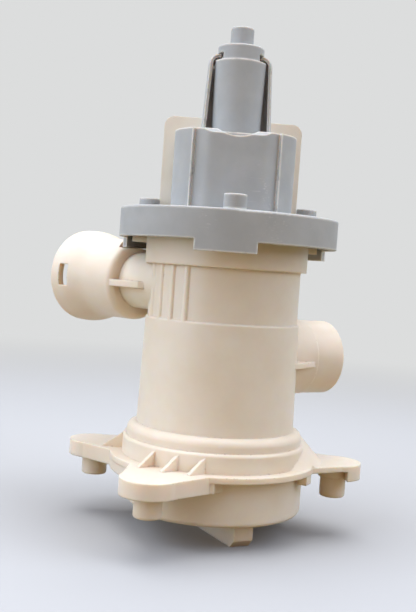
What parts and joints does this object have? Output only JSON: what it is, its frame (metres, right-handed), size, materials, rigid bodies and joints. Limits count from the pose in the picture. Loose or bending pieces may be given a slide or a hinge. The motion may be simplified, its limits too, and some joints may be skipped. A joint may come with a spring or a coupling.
{
  "type": "washer drain pump",
  "caption": "Washing-machine drain pump: ivory filter housing with inlet spigot, discharge socket and screw-in filter, under a grey synchronous motor that spins an impeller.",
  "frame": {"origin": "pump axis just below the mounting ears, on the filter mouth", "axes": "+Z along the pump axis from the filter mouth to the motor, -Y towards the camera, +Y towards the coil"},
  "size_m": [0.1405, 0.1342, 0.2094],
  "materials": {
    "ivory_polypropylene": "moulded",
    "ivory_cap": "moulded",
    "ivory_bobbin": "moulded",
    "grey_base": "moulded",
    "grey_shroud": "moulded",
    "natural_plastic": "moulded",
    "impeller_plastic": "moulded",
    "dark_plastic": "moulded",
    "black_rubber": "moulded",
    "ferrite": "sintered",
    "bush": "sintered",
    "ground_steel": "ground",
    "zinc_steel": "zinc plated",
    "lamination": "stamped",
    "copper_wire": "enamelled",
    "coil_tape": "film",
    "tinned_brass": "tinned"
  },
  "bodies": {
    "housing": {"pump_housing": "ivory_polypropylene", "motor_base": "grey_base", "base_seal": "black_rubber", "base_screws": "zinc_steel", "stator_shroud": "grey_shroud", "bearing_plate": "natural_plastic", "shaft_seal": "black_rubber", "front_bush": "bush", "rear_bush": "bush", "thrust_washer": "natural_plastic", "stator_pole_left": "lamination", "stator_pole_right": "lamination", "stator_yoke": "lamination", "core_rivets": "zinc_steel", "coil_bobbin": "ivory_bobbin", "winding_left": "copper_wire", "winding_right": "copper_wire", "coil_tape": "coil_tape", "terminal_tabs": "tinned_brass"},
    "rotor": {"rotor_magnet": "ferrite", "rotor_core": "natural_plastic"},
    "impeller_group": {"impeller": "impeller_plastic", "impeller_shaft": "ground_steel", "drive_dog": "dark_plastic", "dog_buffers": "black_rubber"},
    "seal_carrier": {"cap_seal": "black_rubber"},
    "filter_plug": {"filter_cap": "ivory_cap", "filter_strainer": "natural_plastic"}
  },
  "joints": [
    {"name": "rotor_spin", "type": "hinge", "parent": "housing", "child": "rotor", "pos_m": [0, 0, 0.125], "axis": [0, 0, 1], "continuous": true},
    {"name": "impeller_lag", "type": "hinge", "parent": "rotor", "child": "impeller_group", "pos_m": [0, 0, 0.1], "axis": [0, 0, 1], "range_deg": [-122, 122]},
    {"name": "filter_travel", "type": "slide", "parent": "housing", "child": "seal_carrier", "axis": [0, 0, -1], "range_m": [0, 0.0052]},
    {"name": "filter_turn", "type": "hinge", "parent": "seal_carrier", "child": "filter_plug", "pos_m": [0, 0, 0], "axis": [0, 0, -1], "range_deg": [0, 153]}
  ],
  "couplings": [
    {"joint": "filter_travel", "follows": "filter_turn", "m_per_rad": 0.0019099}
  ]
}
